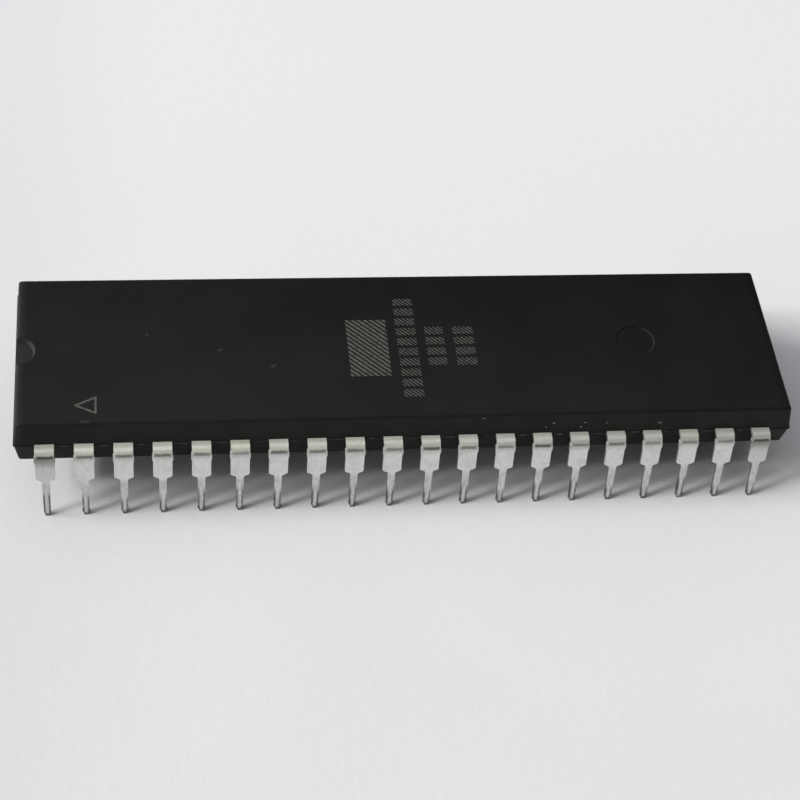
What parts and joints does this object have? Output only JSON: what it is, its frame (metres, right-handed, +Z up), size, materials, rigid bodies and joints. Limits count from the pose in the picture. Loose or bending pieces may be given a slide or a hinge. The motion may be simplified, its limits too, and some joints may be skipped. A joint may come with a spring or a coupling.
{
  "type": "dual in-line integrated circuit",
  "caption": "Wide plastic dual in-line integrated circuit: a black moulded body with an end notch, standing on two rows of splayed tinned leads.",
  "frame": {"origin": "in the plane of the lead tips, under the middle of the body", "axes": "+X along the rows, away from the notch and lead 1; +Y across the rows, away from the row that starts with lead 1; +Z up, out of the top face"},
  "size_m": [0.0524, 0.017, 0.0071],
  "materials": {
    "moulding": "satin black epoxy moulding compound with a fine blotched tone",
    "tinned_lead": "matte tin plating with fine streaks and a dark crease at the bend",
    "die_pad_metal": "rolled copper alloy strip with silver spot plating",
    "adhesive": "silver-filled epoxy, matte",
    "silicon": "polished and passivated silicon",
    "gold_wire": "drawn gold wire"
  },
  "bodies": {
    "root": {"body": "moulding", "die_pad": "die_pad_metal", "die_adhesive": "adhesive", "silicon_die": "silicon", "bond_wires": "gold_wire", "lead_01": "tinned_lead", "lead_02": "tinned_lead", "lead_03": "tinned_lead", "lead_04": "tinned_lead", "lead_05": "tinned_lead", "lead_06": "tinned_lead", "lead_07": "tinned_lead", "lead_08": "tinned_lead", "lead_09": "tinned_lead", "lead_10": "tinned_lead", "lead_11": "tinned_lead", "lead_12": "tinned_lead", "lead_13": "tinned_lead", "lead_14": "tinned_lead", "lead_15": "tinned_lead", "lead_16": "tinned_lead", "lead_17": "tinned_lead", "lead_18": "tinned_lead", "lead_19": "tinned_lead", "lead_20": "tinned_lead", "lead_21": "tinned_lead", "lead_22": "tinned_lead", "lead_23": "tinned_lead", "lead_24": "tinned_lead", "lead_25": "tinned_lead", "lead_26": "tinned_lead", "lead_27": "tinned_lead", "lead_28": "tinned_lead", "lead_29": "tinned_lead", "lead_30": "tinned_lead", "lead_31": "tinned_lead", "lead_32": "tinned_lead", "lead_33": "tinned_lead", "lead_34": "tinned_lead", "lead_35": "tinned_lead", "lead_36": "tinned_lead", "lead_37": "tinned_lead", "lead_38": "tinned_lead", "lead_39": "tinned_lead", "lead_40": "tinned_lead"}
  },
  "joints": []
}
